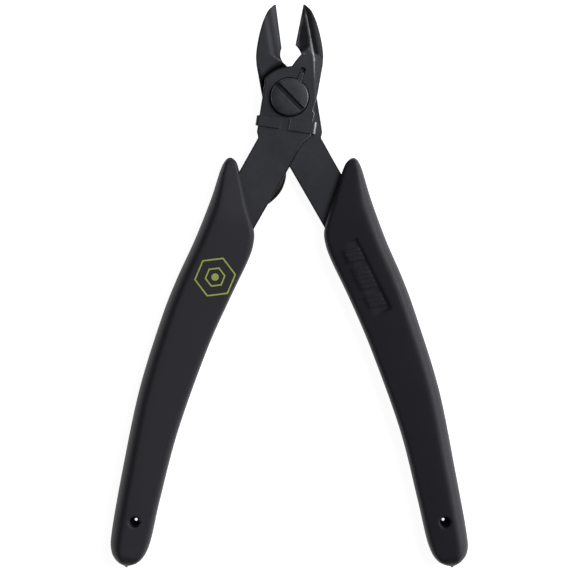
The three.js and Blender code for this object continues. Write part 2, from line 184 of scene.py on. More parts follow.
def edge_distance(spots, loops):
    """Each spot's distance to the nearest side of the loops."""
    best = np.full(len(spots), np.inf)
    for loop in loops:
        for p, q in sides_of(loop):
            side = q - p
            share = np.clip(((spots - p) @ side) / max(side @ side, 1e-12), 0, 1)
            best = np.minimum(best, np.linalg.norm(spots - (p + share[:, None] * side), axis=1))
    return best


def line_distance(spots, line):
    """Each spot's distance to an open line."""
    return edge_distance(spots, [[*line, *line[::-1]]])


def inside(spots, loop):
    """Which spots lie within the loop."""
    within = np.zeros(len(spots), bool)
    for p, q in sides_of(loop):
        spans = (p[1] > spots[:, 1]) != (q[1] > spots[:, 1])
        rise = q[1] - p[1] if q[1] != p[1] else 1
        within ^= spans & (spots[:, 0] < p[0] + (spots[:, 1] - p[1]) / rise * (q[0] - p[0]))
    return within


def soft_min(a, b, blur=0.1):
    """The lower of two heights, with the crease between them rounded."""
    near = np.maximum(blur - np.abs(a - b), 0) / blur
    return np.minimum(a, b) - near * near * blur / 4


def ease(value, low, high):
    """0 below low, 1 above high, and smooth between."""
    t = np.clip((value - low) / (high - low), 0, 1)
    return t * t * (3 - 2 * t)


# ---- Mesh tools: every solid is drawn in millimetres in the half frame ----
def faced_out(obj):
    """The object with its faces pointing out."""
    bm = bmesh.new()
    bm.from_mesh(obj.data)
    bmesh.ops.recalc_face_normals(bm, faces=bm.faces)
    bm.to_mesh(obj.data)
    bm.free()
    return obj


def new_object(name, data):
    obj = bpy.data.objects.new(name, data)
    bpy.context.scene.collection.objects.link(obj)
    return obj


def mesh_object(name, vertices, faces):
    mesh = bpy.data.meshes.new(name)
    mesh.from_pydata([tuple(v) for v in vertices], [], faces)
    mesh.validate()
    return faced_out(new_object(name, mesh))


def flat(height):
    return lambda x, y: np.full(len(x), float(height))


RIM_SHARES = (0, 0.06, 0.29, 0.62, 1)     # where across a rounded rim the mesh has loops
SHADOW_SHARES = (1.6, 2.3)                # further loops beside a rim, where the painted shade along it fades out
WALL_SHARES = (0, 0.14, 0.86, 1)          # where up a side wall the mesh has loops
LEAST_THICKNESS = 0.03


def store(obj, name, values):
    obj.data.attributes.new(name, "FLOAT", "POINT").data.foreach_set("value", np.array(values, np.float32))


def raise_wear_and_highlight(obj, share, more):
    """Scales the stored wear and highlight by the share and raises it to more(place) where that is higher."""
    for wear_and_highlight, vertex in zip(obj.data.attributes["wear_and_highlight"].data, obj.data.vertices):
        wear_and_highlight.value = max(wear_and_highlight.value * share, more(vertex.co))


def nowhere(x, y):
    return np.zeros(len(x))


def relief(name, outline, top, bottom, rim=0.09, holes=(), creases=(), patches=(), worn_and_lit=nowhere,
           worn_and_lit_low=nowhere, ground_and_painted_shade=nowhere, ground_and_painted_shade_low=nowhere, rim_worn_and_lit=None, rim_painted_shade=0.0):
    """A plate between two height functions of (x, y), with rounded rims. The outline and the holes run
    anticlockwise. The mesh follows the creases, and has a grid of points in each patch (x0, y0, x1, y1,
    step). The rims, and the 0 to 1 values that the two wear functions give of the upper and lower faces, are
    stored as wear with painted highlights, and the two ground functions' values likewise as ground faces with
    painted shade. The rim function scales the rims' wear and highlight, and the rim shade value is how dark
    the rims are painted as shade."""
    loops = [outline, *holes]
    points, edges = [], []

    def chain(line, loops_back):
        start = len(points)
        points.extend(Vector((p[0], p[1])) for p in line)
        edges.extend((start + i, start + i + 1) for i in range(len(line) - 1))
        if loops_back:
            edges.append((start + len(line) - 1, start))

    for loop, sign in [(outline, 1)] + [(hole, -1) for hole in holes]:
        for share in (*RIM_SHARES, *(SHADOW_SHARES if rim_painted_shade else ())):
            chain(inset(loop, sign * share * rim) if share else loop, True)
    for crease in creases:
        chain(crease, False)
    for x0, y0, x1, y1, step in patches:
        grid = np.meshgrid(np.arange(x0, x1, step), np.arange(y0, y1, step))
        spots = np.column_stack([grid[0].ravel(), grid[1].ravel()])
        spots = spots[inside(spots, outline) & (edge_distance(spots, loops) > 1.3 * rim)]
        points.extend(Vector(p) for p in spots.tolist())
    cut_points, _, triangles, *_ = delaunay_2d_cdt(points, edges, [], 0, 1e-5)
    spots = np.array([(p.x, p.y) for p in cut_points])
    triangles = np.array(triangles)
    centres = spots[triangles].mean(axis=1)
    keep = inside(centres, outline)
    for hole in holes:
        keep &= ~inside(centres, hole)
    triangles = triangles[keep]
    used, triangles = np.unique(triangles, return_inverse=True)
    spots, triangles = spots[used], triangles.reshape(-1, 3)

    x, y = spots[:, 0], spots[:, 1]
    away = edge_distance(spots, loops)
    short = np.clip(1 - away / rim, 0, 1)
    drop = rim * (1 - np.sqrt(1 - short ** 2))
    low = bottom(x, y) + drop
    high = np.maximum(top(x, y) - drop, low + LEAST_THICKNESS)
    # Wear along each rim; the rim function scales it and adds painted highlights in places.
    rim_wear_and_highlight = np.clip(1 - np.abs(away - 0.3 * rim) / (0.7 * rim), 0, 1)
    if rim_worn_and_lit:
        rim_wear_and_highlight *= rim_worn_and_lit(x, y)

    count = len(spots)
    vertices = [*zip(x, y, high), *zip(x, y, low)]
    wear_and_highlight = [*np.maximum(rim_wear_and_highlight, worn_and_lit(x, y)), *np.maximum(rim_wear_and_highlight, worn_and_lit_low(x, y))]
    # Painted shade along the rims, kept together with the painted shade that the ground functions give.
    shadow = rim_painted_shade * (1 - ease(away, 1.1 * rim, 2.2 * rim))
    wheel = [*np.maximum(shadow, ground_and_painted_shade(x, y)), *np.maximum(shadow, ground_and_painted_shade_low(x, y))]
    upper = triangles.tolist()
    faces = [*upper, *((count + c, count + b, count + a) for a, b, c in upper)]
    sides = {(t[i], t[(i + 1) % 3]) for t in upper for i in range(3)}
    border = [(a, b) for a, b in sides if (b, a) not in sides]
    wall = {}
    for v in sorted({v for side in border for v in side}):
        wall[v] = [count + v]
        for share in WALL_SHARES[1:-1]:
            wall[v].append(len(vertices))
            vertices.append((x[v], y[v], low[v] + share * (high[v] - low[v])))
            wear_and_highlight.append(0)
        wall[v].append(v)
    for a, b in sorted(border):
        faces += [(wall[a][k], wall[b][k], wall[b][k + 1], wall[a][k + 1])
                  for k in range(len(WALL_SHARES) - 1)]
    obj = mesh_object(name, vertices, faces)
    store(obj, "wear_and_highlight", wear_and_highlight)
    store(obj, "ground_and_painted_shade", [*wheel, *np.zeros(len(vertices) - len(wheel))])
    return obj


def sweep(name, rings):
    """A closed tube over rings of points, with flat ends."""
    size = len(rings[0])
    vertices = [v for ring in rings for v in ring]
    faces = [(i * size + k, i * size + (k + 1) % size, (i + 1) * size + (k + 1) % size, (i + 1) * size + k)
             for i in range(len(rings) - 1) for k in range(size)]
    faces += [tuple(range(size))[::-1], tuple(range(len(vertices) - size, len(vertices)))]
    return mesh_object(name, vertices, faces)


def plate(name, outline, low, high):
    """A sharp-edged plate."""
    return sweep(name, [[(*p, z) for p in outline] for z in (low, high)])


def rounded_box_section(half_width, half_height, radius, steps=4):
    """Points round a rectangle with round corners, about its own middle."""
    corners = ((1, 1, 0), (-1, 1, 90), (-1, -1, 180), (1, -1, 270))
    across, up = half_width - radius, half_height - radius
    return [p for sx, sy, start in corners
            for p in arc(sx * across, sy * up, radius, start, start + 90, steps)]


def reshaped(obj, mapping):
    """The object with every vertex moved by the mapping."""
    for vertex in obj.data.vertices:
        vertex.co = mapping(vertex.co)
    return faced_out(obj)


def applied(obj):
    """The object's modifiers made part of its mesh."""
    graph = bpy.context.evaluated_depsgraph_get()
    mesh = bpy.data.meshes.new_from_object(obj.evaluated_get(graph))
    obj.modifiers.clear()
    old, obj.data = obj.data, mesh
    bpy.data.meshes.remove(old)
    return obj


def combined(obj, operation, others):
    for other in others:
        modifier = obj.modifiers.new("combine", "BOOLEAN")
        modifier.operation = operation
        modifier.solver = "EXACT"
        modifier.object = other
        applied(obj)
        bpy.data.objects.remove(other)
    return obj


def settle(obj, node, half, material, sharp=32, bends=None, extra=None):
    """It replaces the node, or is an extra piece on it. A piece given bends is baked where it stands and
    attached to neither half."""
    obj.name = obj.data.name = extra or node + "_fine"
    obj.data.transform(half)
    obj.data.materials.clear()
    obj.data.materials.append(material)
    obj.data.polygons.foreach_set("use_smooth", [True] * len(obj.data.polygons))
    obj.data.set_sharp_from_angle(angle=math.radians(sharp))
    weighted = obj.modifiers.new("weighted", "WEIGHTED_NORMAL")
    weighted.keep_sharp = True
    applied(obj)
    if bends:
        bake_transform(obj)
    else:
        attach(obj, BODY_OF[node])
    if not extra:
        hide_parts(node)
    return obj


# ---- Materials ----
class Look:
    """A material, and short ways to add nodes. An input takes a plain value or another node's output."""

    def __init__(self, name):
        self.material = bpy.data.materials.new(name)
        self.material.use_nodes = True
        self.nodes, self.links = self.material.node_tree.nodes, self.material.node_tree.links
        self.shader = self.nodes["Principled BSDF"]

    def feed(self, socket, value):
        if isinstance(value, bpy.types.NodeSocket):
            self.links.new(value, socket)
        else:
            socket.default_value = (*value, 1) if socket.type == "RGBA" else value

    def add(self, kind, output, inputs, **settings):
        """The output of a new node."""
        node = self.nodes.new("ShaderNode" + kind)
        for key, value in settings.items():
            setattr(node, key, value)
        for key, value in inputs.items():
            self.feed(node.inputs[key], value)
        return node.outputs[output]

    def surface(self, **inputs):
        """Sets the shader's inputs, with an underscore in a name for each space."""
        for key, value in inputs.items():
            self.feed(self.shader.inputs[key.replace("_", " ")], value)

    def place(self, scale=(1, 1, 1), turn=0.0):
        """The piece's own coordinates in metres, turned about Z, then scaled per axis."""
        turned = self.add("Mapping", "Vector",
                          {"Vector": self.add("TexCoord", "Object", {}), "Rotation": (0, 0, turn)})
        return self.add("Mapping", "Vector", {"Vector": turned, "Scale": scale})

    def noise(self, vector, scale, detail=4.0, roughness=0.55):
        return self.add("TexNoise", "Fac",
                        {"Vector": vector, "Scale": scale, "Detail": detail, "Roughness": roughness})

    def ramp(self, value, low, high, start, end):
        return self.add("MapRange", "Result", {"Value": value, "From Min": low, "From Max": high,
                                               "To Min": start, "To Max": end})

    def calc(self, operation, a, b):
        return self.add("Math", "Value", {0: a, 1: b}, operation=operation)

    def mixed(self, factor, first, second):
        """Two colours mixed. Inputs 6 and 7 and output 2 are the Mix node's colours."""
        return self.add("Mix", 2, {"Factor": factor, 6: first, 7: second}, data_type="RGBA")

    def stored(self, name):
        return self.add("Attribute", "Fac", {}, attribute_name=name)

    def worn_and_lit_share(self, patchiness):
        """How far bright bare steel shows, as worn film and painted highlight, from the piece's stored
        values and a patchy noise.
        """
        patchy = self.calc("MULTIPLY", self.stored("wear_and_highlight"), self.ramp(patchiness, 0.3, 0.7, 0.45, 1.2))
        return self.ramp(patchy, 0.2, 0.85, 0, 0.9)

    def bumps(self, *layers):
        """Heights layered on each other: (height output, strength, distance in metres)."""
        below = {}
        for height, strength, distance in layers:
            inputs = {"Height": height, "Strength": strength, "Distance": distance, **below}
            below = {"Normal": self.add("Bump", "Normal", inputs)}
        self.surface(**below)


STEEL_METALLIC, STEEL_SPECULAR = 0.85, 0.35
STEEL_TINT = (0.052, 0.053, 0.061)
# Bright bare steel, for worn film and for painted highlights.
STEEL_WORN_AND_LIT = (0.3, 0.3, 0.31)


def dimmed(colour, share):
    return tuple(share * c for c in colour)


def black_steel(name, brush_turn, brush=0.3):
    """Black-oxide steel: a dark satin film, fine grinding lines one way, mottling, and worn edges with
    painted highlights. Ground faces are smoother, and they and other stored places are painted darker as
    shade."""
    look = Look(name)
    look.surface(Metallic=STEEL_METALLIC, Specular_IOR_Level=STEEL_SPECULAR)
    plain = look.place()
    mottle = look.noise(plain, 420, 5, 0.6)
    cloud = look.noise(plain, 90, 3)
    grind = look.noise(look.place((9000, 350, 900), brush_turn), 1.0, 3, 0.6)
    grain = look.noise(plain, 9000, 2, 0.5)
    film = look.mixed(look.ramp(cloud, 0.3, 0.7, 0, 1), dimmed(STEEL_TINT, 0.86), dimmed(STEEL_TINT, 1.14))
    speckled = look.mixed(look.ramp(mottle, 0.35, 0.75, 0, 0.5), film, dimmed(STEEL_TINT, 1.3))
    ground_and_painted_shade = look.stored("ground_and_painted_shade")
    # Painted shade: the stored ground-face and shadow values darken the film.
    shaded = look.mixed(look.calc("MULTIPLY", ground_and_painted_shade, 0.95), speckled, dimmed(STEEL_TINT, 0.08))
    # Bare steel where the film is worn, and painted highlights.
    worn_and_lit = look.worn_and_lit_share(mottle)
    satin = look.ramp(look.calc("ADD", mottle, grind), 0.6, 1.4, 0.4, 0.5)
    smoother = look.calc("ADD", look.calc("MULTIPLY", worn_and_lit, 0.08), look.calc("MULTIPLY", ground_and_painted_shade, 0.1))
    look.surface(Base_Color=look.mixed(worn_and_lit, shaded, STEEL_WORN_AND_LIT),
                 Roughness=look.calc("SUBTRACT", satin, smoother))
    look.bumps((grind, brush, 2e-6), (grain, 0.25, 2e-6), (mottle, 0.2, 6e-6))
    return look.material


def turned_steel(name):
    """Black-oxide steel with the fine rings that turning leaves about the pivot axis. Stored painted shade,
    as in the screw's slot, darkens it.
    """
    look = Look(name)
    look.surface(Metallic=STEEL_METALLIC, Specular_IOR_Level=STEEL_SPECULAR)
    plain = look.place()
    from_axis = look.add("VectorMath", "Vector", {0: plain, 1: (1, 1, 0), 2: (-PIVOT.x, -PIVOT.y, 0)},
                         operation="MULTIPLY_ADD")
    radius = look.add("VectorMath", "Value", {0: from_axis}, operation="LENGTH")
    rings = look.add("TexNoise", "Fac", {"W": radius, "Scale": 9000, "Detail": 3}, noise_dimensions="1D")
    mottle = look.noise(plain, 500, 5, 0.6)
    film = look.mixed(look.ramp(mottle, 0.3, 0.7, 0, 1), dimmed(STEEL_TINT, 0.95), dimmed(STEEL_TINT, 1.35))
    # Painted shade from the stored values darkens the film.
    shaded = look.mixed(look.calc("MULTIPLY", look.stored("ground_and_painted_shade"), 0.6), film, dimmed(STEEL_TINT, 0.3))
    look.surface(Base_Color=look.mixed(look.worn_and_lit_share(mottle), shaded, STEEL_WORN_AND_LIT),
                 Roughness=look.ramp(mottle, 0.3, 0.7, 0.4, 0.52))
    look.bumps((rings, 0.3, 2e-6), (mottle, 0.2, 6e-6))
    return look.material


def spring_steel(name, shade=1.0, grazing=1.0):
    """Spring strip with drawing lines along it and a faint warm tint. The shade argument darkens its colour
    as painted shade, and grazing dims its grazing reflection's tint.
    """
    look = Look(name)
    cloud = look.noise(look.place(), 160, 4)
    drawn = look.noise(look.place((300, 300, 12000)), 1.0, 3, 0.6)
    tint = look.mixed(look.ramp(cloud, 0.35, 0.65, 0, 1), dimmed((0.14, 0.14, 0.135), shade),
                      dimmed((0.19, 0.185, 0.165), shade))
    look.surface(Metallic=0.9, Specular_Tint=dimmed((1, 0.96, 0.86), grazing), Base_Color=tint,
                 Roughness=look.ramp(drawn, 0.3, 0.7, 0.32, 0.45))
    look.bumps((drawn, 0.35, 2e-6))
    return look.material


def moulded_rubber(name):
    """Matte charcoal rubber: spark-eroded grain, cloudy colour, and a parting line round its sides."""
    look = Look(name)
    plain = look.place()
    cloud = look.noise(plain, 55, 4)
    grain = look.noise(plain, 2600, 3, 0.6)
    pebble = look.add("TexVoronoi", "Distance", {"Vector": plain, "Scale": 2900})
    tone = look.mixed(look.ramp(cloud, 0.3, 0.7, 0, 1), (0.0147, 0.0148, 0.0202), (0.0188, 0.0189, 0.0252))
    flecked = look.mixed(look.ramp(grain, 0.5, 0.8, 0, 0.5), tone, (0.026, 0.026, 0.033))
    look.surface(Specular_IOR_Level=0.3, Base_Color=flecked,
                 Roughness=look.ramp(look.calc("ADD", grain, cloud), 0.7, 1.3, 0.52, 0.66))
    height = look.add("SeparateXYZ", "Z", {"Vector": plain})
    off_middle = look.calc("ABSOLUTE", look.calc("SUBTRACT", height, PIVOT.z), 0)
    parting = look.ramp(off_middle, 0.0, 0.00012, 1, 0)
    look.bumps((pebble, 0.35, 14e-6), (grain, 0.25, 10e-6), (cloud, 0.2, 60e-6), (parting, 0.5, 60e-6))
    return look.material


def ink(name):
    """Yellow-green pad print, thin enough for the grain to show, with small misses."""
    look = Look(name)
    speck = look.noise(look.place(), 3200, 4, 0.7)
    tone = look.mixed(look.ramp(speck, 0.55, 0.72, 0, 0.7), (0.36, 0.43, 0.075), (0.16, 0.19, 0.05))
    look.surface(Base_Color=tone, Roughness=look.ramp(speck, 0.3, 0.7, 0.5, 0.65))
    look.bumps((speck, 0.25, 8e-6))
    return look.material


BLADE_FRONT = black_steel("black_oxide_front", math.radians(-8))
BLADE_BACK = black_steel("black_oxide_back", math.radians(8))
CLIP_STEEL = black_steel("black_oxide_strip", math.radians(98), brush=0.2)
SCREW_STEEL = turned_steel("black_oxide_turned")
SPRING_STEEL = spring_steel("spring_steel")
# The leaf's copy, painted darker as shade and with a dimmed grazing reflection.
LEAF_STEEL_SHADED = spring_steel("spring_steel_shaded", shade=0.22, grazing=0.3)
RUBBER = moulded_rubber("charcoal_rubber")
INK = ink("pad_print")


# ---- Blades ----
NOTCH_CORNER = (1.0, 9.75)
FRONT_NOTCH = [(-0.52, 11.45), (0.0, 11.1), (0.48, 10.6), (0.85, 10.05), NOTCH_CORNER, (0.55, 8.85),
               (0.0, 7.9)]
BACK_NOTCH = [(0.07, 10.9), (0.35, 10.4), (0.52, 9.8), (0.6, 9.2), (0.52, 8.6), (0.28, 7.9)]
TANG_ROOT, TANG_END = (-5.45, -9.9), (-18.3, -77, 2.1)
NOTCH_MOUTH = (-0.55, 6.8)
HEEL = smooth([(3.75, -11.2), (4.46, -9.65), (5.7, -8.13), (SIDE, -7.5)], 12)
POINT_X = -0.17


def blade_outline(notch):
    inner_side = smooth([(2.68, -14.1), (-3.05, -29), (-5.15, -35), (-8.9, -45), (-12.9, -60),
                         (-16.2, -77)], 40)
    outer_side = smooth([(-20.4, -77), (-18.9, -57), (-16.4, -42.5), (-13.3, -31.1)], 24)
    nick = [(5.8, -4.1), (5.93, -2.8), (5.85, -2.6), (5.5, -2.3), (5.48, -1.87), (5.66, -0.6), (5.92, 1.2)]
    back = smooth([(6.06, 8), (5.78, 10.5), (4.72, 13.9), (3.26, 17.2), (1.8, 19.4), (0.7, 20.25),
                   (0.2, TIP_Y)], 54)
    return [(POINT_X, TIP_Y), *notch, NOTCH_MOUTH, *arc(0, 0, BOSS_R, 104, 152, 28),
            (-SIDE, 2.2), (-SIDE, -8.6), (-5.52, -9.5), TANG_ROOT,
            *outer_side[::-1], *arc(*TANG_END, -180, 0, 14)[1:-1], *inner_side[::-1],
            *HEEL, *nick, *back]


# The ridge between the two ground faces comes down from the point of the jaw. It reaches the flat at FLAT_Y,
# and at RIDGE_LOW the narrow side face takes over down to the pivot.
RIDGE_LOW, RIDGE_LEAN, RIDGE_FALL, FLAT_Y = (4.0, 8.8), 0.352, 0.2, 10.3
SIDE_LEAN, SIDE_FALL = 0.184, 0.2
EDGE_X = -0.3


def ridge(y):
    """The ridge's x and height."""
    x = RIDGE_LOW[0] - RIDGE_LEAN * np.maximum(y - RIDGE_LOW[1], 0)
    return x, TOP - RIDGE_FALL * np.maximum(y - FLAT_Y, 0)


def edge_to_ridge(x, y):
    """The hollow-ground face's width, and the share of it that lies between the cutting edge and x."""
    width = np.maximum(ridge(y)[0] - EDGE_X, 0.25)
    return width, (x - EDGE_X) / width


def past_side_ridge(x, y):
    """How far x lies beyond the ridge of the narrow side face."""
    return x - RIDGE_LOW[0] + SIDE_LEAN * (y - RIDGE_LOW[1])


def inner_grind(x, y):
    """The hollow-ground face from the cutting edge, where it tilts a little outwards, up to the ridge. It
    ends in the wheel's slanted run-out, and climbs clear of the flat below the wire notch."""
    wheel, notch_y, climb = 1.3, 9.6, 8
    run_out, run_out_lean = (1.7, 9.65), (0.88, -0.47)
    edge_z, ridge_z = SEAM + EDGE_LAND, ridge(y)[1]
    span, share = edge_to_ridge(x, y)
    share = np.clip(share, -0.5, 2)
    tilt = 0.2 + 0.25 * ease(y, 15, 19)
    out = (x - run_out[0]) * run_out_lean[0] + (y - run_out[1]) * run_out_lean[1] + wheel
    out = np.maximum(out, 0)
    hollow = edge_z + (ridge_z - edge_z) * share * np.abs(share) - tilt * span * share * (1 - share)
    return hollow + out * out / wheel + climb * np.maximum(notch_y - y, 0)


def outer_grind(x, y):
    """The rounded face from the ridge down to the back of the jaw. It climbs back out below outer_end."""
    outer_end, climb, fall = 10.1, 0.8, 0.1
    ridge_x, ridge_z = ridge(y)
    beyond = x - ridge_x
    return ridge_z - fall * beyond * (1 + np.abs(beyond)) + climb * np.maximum(outer_end - y, 0)


def side_grind(x, y):
    """A narrow face along the back of the jaw that fades out beside the pivot."""
    return TOP - SIDE_FALL * past_side_ridge(x, y)


KEY_ALONG = (math.sin(math.radians(KEY_ANGLE)), math.cos(math.radians(KEY_ANGLE)))


def key_distance(x, y):
    """Distance to the middle line of the lock tab's groove."""
    back = np.clip((KEY_END[0] - x) * KEY_ALONG[0] + (KEY_END[1] - y) * KEY_ALONG[1], 0, KEY_LENGTH)
    return np.hypot(x - KEY_END[0] + back * KEY_ALONG[0], y - KEY_END[1] + back * KEY_ALONG[1])


def key_loop(reach, steps=16):
    """The groove's outline at a distance from its middle line."""
    foot = [end - KEY_LENGTH * along for end, along in zip(KEY_END, KEY_ALONG)]
    return closed(arc(*KEY_END, reach, -KEY_ANGLE, 180 - KEY_ANGLE, steps)
                  + arc(*foot, reach, 180 - KEY_ANGLE, 360 - KEY_ANGLE, steps))


def ridge_lines():
    """The jaw's ridge and the side face's ridge, as points from the tip down."""
    ys = np.linspace(20.2, RIDGE_LOW[1], 60)
    side_ys = np.linspace(RIDGE_LOW[1], -0.7, 20)
    side = np.column_stack([RIDGE_LOW[0] - SIDE_LEAN * (side_ys - RIDGE_LOW[1]), side_ys])
    return np.column_stack([ridge(ys)[0], ys]), side


JAW_RIDGE, SIDE_RIDGE = ridge_lines()


def ground_top(x, y):
    side = soft_min(side_grind(x, y), np.full(len(x), TOP), 0.05)
    return soft_min(soft_min(inner_grind(x, y), outer_grind(x, y), 0.12), side, 0.08)


def ground_face_painted_shade(x, y):
    """Painted shade on the ground faces, 1 where painted dark, 0 elsewhere and along the cutting edge."""
    beyond = x - ridge(y)[0]
    on_jaw = ease(y, 9.8, 10.3)
    outer = ease(beyond, 0.12, 0.35) * on_jaw * (1 - 0.12 * ease(beyond, 0.7, 2.2))
    inner = ease(edge_to_ridge(x, y)[1], 0.3, 0.7) * (1 - ease(beyond, -0.2, 0))
    side = ease(past_side_ridge(x, y), 0.1, 0.35) * (1 - on_jaw) * ease(y, -1, 0)
    depth = TOP - ground_top(x, y)
    return np.maximum.reduce([outer, 0.35 * inner * ease(depth, 0.05, 0.4), 0.5 * side])


def ridge_wear_and_highlight(x, y):
    """Worn bright along the jaw's ridge, with a painted highlight, fading down the side face's ridge."""
    jaw_w, jaw_shift, side_w = 0.25, 0.06, 0.14
    spots = np.column_stack([x, y])
    jaw = line_distance(spots - (jaw_shift, 0), JAW_RIDGE)
    side = line_distance(spots, SIDE_RIDGE)
    bright = np.clip(1.3 - 0.05 * (y - 9), 0.5, 1.2) * ease(20 - y, 0, 2.5)
    fade = np.clip(0.4 + 0.6 * (y - 5) / 4, 0.25, 1)
    return np.maximum(np.exp(-(jaw / jaw_w) ** 2) * bright, np.exp(-(side / side_w) ** 2) * fade)


def ridge_creases():
    shifts = (-0.24, -0.12, -0.06, 0, 0.06, 0.12, 0.24)
    return [(line + (shift, 0)).tolist() for line in (JAW_RIDGE, SIDE_RIDGE) for shift in shifts]


def blade_rim_wear_and_highlight(x, y):
    """A blade's rims are worn, with painted highlights, a little about the pivot and at the nick, and hardly
    along the tang.
    """
    nick = ease(x, 5, 5.3) * ease(y, -4.4, -3.8) * (1 - ease(y, 0, 1.5))
    return 0.1 + 0.5 * ease(y, -13, -8) * (1 - ease(y, 2, 8)) + 0.2 * nick


# The blades' rim radius, and how dark their rims are painted as shade.
BLADE_RIM, RIM_PAINTED_SHADE = 0.16, 0.7
JAW_PATCH = (-0.6, 6.6, 6.2, 20.4, 0.15)
SIDE_PATCH = (3.4, -2.0, 6.2, 6.6, 0.3)


def front_wear_and_highlights(x, y):
    """The ridge's wear and painted highlight, a painted glint on the corner in the wire notch, a painted
    highlight on the hollow face near its edge, and a faint worn line with a painted highlight inside the
    heel."""
    corner_r, heel_in, heel_w = 0.3, 0.26, 0.09
    # Painted glint on the notch's corner.
    corner = np.hypot(x - NOTCH_CORNER[0], y - NOTCH_CORNER[1])
    share = edge_to_ridge(x, y)[1]
    # Painted highlight on the hollow face near the cutting edge, stronger towards the tip.
    hollow_painted_highlight = (0.25 + 0.35 * ease(y, 13, 18)) * (1 - ease(share, 0.3, 0.8)) * ease(y, 10, 11.5)
    heel = line_distance(np.column_stack([x, y]), HEEL)
    return np.maximum.reduce([ridge_wear_and_highlight(x, y), np.exp(-(corner / corner_r) ** 2), hollow_painted_highlight,
                              0.6 * np.exp(-((heel - heel_in) / heel_w) ** 2)])


def front_painted_shade(x, y):
    """Painted shade on the ground faces, and a painted shadow ring just outside the screw's head."""
    # Painted shadow in a narrow ring just outside the screw's head.
    seat = 1 - ease(np.abs(np.hypot(x, y) - HEAD_R - 0.12), 0.1, 0.22)
    return np.maximum(ground_face_painted_shade(x, y), seat)


def front_blade():
    half_w, eye_depth = KEY_W / 2, 0.8
    groove_wall, eye_wall = (half_w - 0.06, half_w + 0.03), (KEY_EYE_R - 0.04, KEY_EYE_R + 0.03)
    channel_low, channel_high = STRAP_LOW - CHANNEL_PLAY, STRAP_HIGH + CHANNEL_PLAY

    def top(x, y):
        groove = 1 - ease(key_distance(x, y), *groove_wall)
        eye = 1 - ease(np.hypot(x - KEY_END[0], y - KEY_END[1]), *eye_wall)
        return ground_top(x, y) - KEY_DEPTH * groove - eye_depth * eye

    def bottom(x, y):
        strap = (y > channel_low) & (y < channel_high)
        tongue = inside(np.column_stack([x, y]), TONGUE_RECESS)
        return SEAM + CHANNEL_DEPTH * (strap | tongue)

    step = 0.01
    channel = [[(-9, y), (9, y)] for edge in (channel_low, channel_high) for y in (edge - step, edge + step)]
    recess = [closed(inset(TONGUE_RECESS, d)) for d in (-step, step)]
    eye_loops = [closed(circle(*KEY_END, r, 24)) for r in eye_wall]
    key_loops = [key_loop(half_w + d) for d in (-0.06, -0.03, 0, 0.03)]
    seat = [closed(circle(0, 0, HEAD_R + d)) for d in (-0.1, 0.02, 0.22, 0.34)]
    body = relief("blade", blade_outline(FRONT_NOTCH), top, bottom, rim=BLADE_RIM,
                  holes=[circle(0, 0, BORE_R)],
                  creases=[*ridge_creases(), *channel, *recess, *eye_loops, *key_loops, *seat],
                  patches=[JAW_PATCH, SIDE_PATCH], worn_and_lit=front_wear_and_highlights, ground_and_painted_shade=front_painted_shade,
                  rim_worn_and_lit=blade_rim_wear_and_highlight, rim_painted_shade=RIM_PAINTED_SHADE)
    settle(body, "front_blade", FRONT, BLADE_FRONT)


# The inner face that shows on the open back jaw: a tilted land along the cutting edge, a shallow ground
# band beside it, the band's slanted foot, and a round relief about the front blade's boss.
LAND_W, LAND_DROP, BAND_W, BAND_FADE, BAND_DEPTH = 1.9, 0.16, 1.7, 1.3, 0.02
FOOT, FOOT_LEAN, FOOT_W, FOOT_DEPTH = (0.81, 8.2), 0.88, 0.3, 0.064
RELIEF_R, RELIEF_W, RELIEF_DEPTH = 9.3, 2.6, 0.35


def foot_y(x):
    """The slanted foot's y."""
    return FOOT[1] + FOOT_LEAN * (x - FOOT[0])


def boss_relief(x, y):
    """0 outside the relief about the boss, rising to 1 at the boss."""
    return np.clip((RELIEF_R - np.hypot(x, y)) / RELIEF_W, 0, 1) * ease(y, 0.5, 2.5)


def flush_face(x, y):
    on_band = 1 - ease(x, BAND_W, BAND_W + BAND_FADE)
    band = BAND_DEPTH * on_band * ease(x, 0.8, LAND_W)
    foot = FOOT_DEPTH * on_band * ease(y - foot_y(x), 0, FOOT_W)
    towards_edge = np.clip(1 - (x - EDGE_X) / (LAND_W - EDGE_X), 0, 1)
    land = LAND_DROP * towards_edge ** 2 * ease(y, 8.9, 9.6) * (1 + 0.7 * ease(y, 13, 19))
    ground_away = (band + land) * ease(y - foot_y(x), 0, FOOT_W) + foot
    return SEAM + ground_away + RELIEF_DEPTH * boss_relief(x, y) ** 2


def foot_painted_highlight(x, y):
    """A faint painted highlight line along the band's foot."""
    along = ease(x, 0.3, 0.9) * (1 - ease(x, 1.9, 2.4))
    return 0.7 * along * np.exp(-((y - foot_y(x) - FOOT_W / 2) / 0.16) ** 2)


# Painted shadow in the relief beside the front blade's boss, darkest towards the boss.
def boss_painted_shadow(x, y):
    return ease(boss_relief(x, y), 0.3, 0.9)


